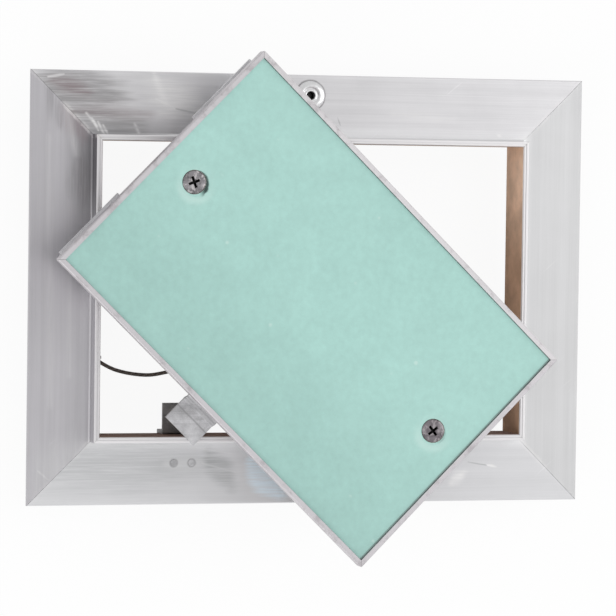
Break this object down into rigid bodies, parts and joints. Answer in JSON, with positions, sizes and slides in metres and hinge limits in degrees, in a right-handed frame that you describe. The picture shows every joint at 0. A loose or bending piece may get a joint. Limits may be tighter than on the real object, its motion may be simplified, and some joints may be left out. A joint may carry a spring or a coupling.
{
  "type": "ceiling access panel",
  "caption": "Rectangular aluminium access frame with a raised rim, and its lift-out plasterboard door lying across it on a safety cord.",
  "frame": {"origin": "middle of the frame, in the plane of the flange's back face, which seats on the ceiling", "axes": "+X along the frame's long side, +Y along its short side, +Z out of the opening towards the room"},
  "size_m": [0.2, 0.1766, 0.0414],
  "materials": {
    "frame_aluminium": "brushed extrusion",
    "door_aluminium": "brushed extrusion",
    "rivet_aluminium": "satin",
    "zinc_steel": "zinc plated",
    "dark_steel": "dark, worn",
    "spring_steel": "blued spring",
    "sleeve_steel": "crimped",
    "screw_steel": "phosphated",
    "cord": "plaited",
    "gypsum": "matt",
    "green_paper": "matt",
    "back_paper": "matt"
  },
  "bodies": {
    "frame": {"frame_top": "frame_aluminium", "frame_bottom": "frame_aluminium", "frame_right": "frame_aluminium", "frame_left": "frame_aluminium", "frame_corner_angles": "zinc_steel", "keeper_left": "dark_steel", "keeper_right": "dark_steel", "keeper_rivets": "rivet_aluminium", "catch_base": "spring_steel", "catch_rivet": "rivet_aluminium", "cord_tab_frame": "zinc_steel", "cord_tab_rivet": "rivet_aluminium", "cord_sleeve_frame": "sleeve_steel", "safety_cord": "cord"},
    "catch": {"catch_leaf": "spring_steel"},
    "door": {"cord_sleeve_door": "sleeve_steel", "cord_tab_door": "zinc_steel", "door_edge_top": "door_aluminium", "door_edge_bottom": "door_aluminium", "door_edge_left": "door_aluminium", "door_edge_right": "door_aluminium", "door_corner_plates": "zinc_steel", "door_corner_rivets": "rivet_aluminium", "board_core": "gypsum", "board_face_paper": "green_paper", "board_back_paper": "back_paper", "back_bar_left": "zinc_steel", "back_bar_right": "zinc_steel", "bar_rivets": "rivet_aluminium", "board_screws": "screw_steel", "hook_tongue": "zinc_steel", "tongue_rivets": "rivet_aluminium", "strike_blade": "zinc_steel", "strike_rivets": "rivet_aluminium"}
  },
  "joints": [
    {"name": "door_lift", "type": "slide", "parent": "frame", "child": "door", "axis": [0, 0, 1], "range_m": [0, 0.1], "deforming": ["safety_cord"]},
    {"name": "catch_flex", "type": "hinge", "parent": "frame", "child": "catch", "pos_m": [-0.0008, 0.0538, -0.011], "axis": [-1, 0, 0], "range_deg": [0, 8], "stiffness_Nm_per_rad": 0.2}
  ]
}
